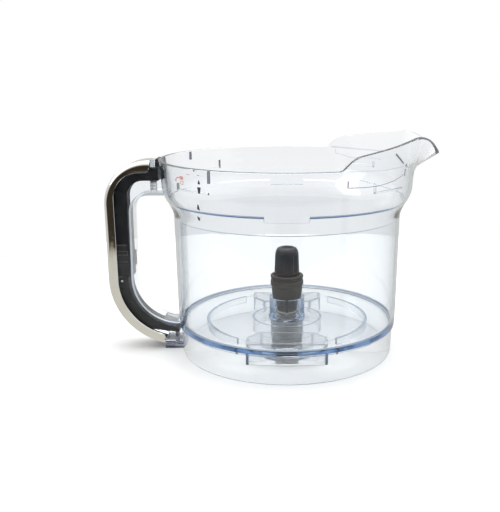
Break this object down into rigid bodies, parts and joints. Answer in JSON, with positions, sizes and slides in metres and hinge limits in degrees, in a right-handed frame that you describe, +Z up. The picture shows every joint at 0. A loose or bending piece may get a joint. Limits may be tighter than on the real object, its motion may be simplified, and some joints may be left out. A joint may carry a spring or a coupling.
{
  "type": "food processor work bowl",
  "caption": "Clear round work bowl with a broad pour spout, a loop handle with a lid interlock inside, and a drive spindle through its floor.",
  "frame": {"origin": "on the spindle's axis, in the plane that the skirt stands on", "axes": "+Z up along the spindle, +X towards the pour spout, handle at -X"},
  "size_m": [0.2846, 0.2164, 0.188],
  "materials": {
    "clear_plastic": "clear moulded copolyester, polished, faint cool tint",
    "smoky_plastic": "grey translucent moulded plastic",
    "polished_trim": "polished metal trim",
    "fixing_steel": "zinc plated steel",
    "spring_steel": "drawn spring wire",
    "shaft_steel": "ground stainless steel",
    "black_plastic": "satin black moulded plastic",
    "brown_plastic": "dark brown-grey moulded plastic",
    "grey_plastic": "light grey moulded plastic",
    "bush_plastic": "self-lubricating bearing plastic",
    "washer_plastic": "natural nylon",
    "seal_rubber": "moulded rubber"
  },
  "bodies": {
    "bowl_body": {"bowl": "clear_plastic", "base_skirt": "clear_plastic", "lock_ring": "clear_plastic", "pour_spout": "clear_plastic", "handle_shell": "clear_plastic", "handle_trim": "polished_trim", "handle_foot": "smoky_plastic", "foot_screws": "fixing_steel", "lid_tab_slot": "black_plastic", "slider_guide": "black_plastic", "rod_stop": "smoky_plastic", "interlock_spring": "spring_steel", "shaft_bush": "bush_plastic", "coupling_shroud": "smoky_plastic"},
    "slider": {"interlock_slider": "black_plastic"},
    "rod": {"interlock_rod": "black_plastic", "rod_pin": "fixing_steel", "switch_plunger": "grey_plastic"},
    "spindle": {"drive_shaft": "shaft_steel", "drive_coupling": "black_plastic", "drive_pin": "fixing_steel", "retaining_clip": "spring_steel", "thrust_washer": "washer_plastic", "spindle_sleeve": "brown_plastic", "sleeve_o_ring": "seal_rubber", "tool_collar": "black_plastic", "drive_head": "black_plastic", "shaft_seal": "seal_rubber"}
  },
  "joints": [
    {"name": "spindle_spin", "type": "hinge", "parent": "bowl_body", "child": "spindle", "pos_m": [0, 0, 0], "axis": [0, 0, 1], "continuous": true},
    {"name": "interlock_slide", "type": "slide", "parent": "bowl_body", "child": "slider", "axis": [0, 0, -1], "range_m": [0, 0.0035], "stiffness_N_per_m": 900, "springref_m": -0.002, "deforming": ["interlock_spring"]},
    {"name": "rod_slide", "type": "slide", "parent": "bowl_body", "child": "rod", "axis": [0, 0, -1], "range_m": [0, 0.0035]}
  ],
  "couplings": [
    {"joint": "rod_slide", "follows": "interlock_slide", "ratio": 1}
  ]
}
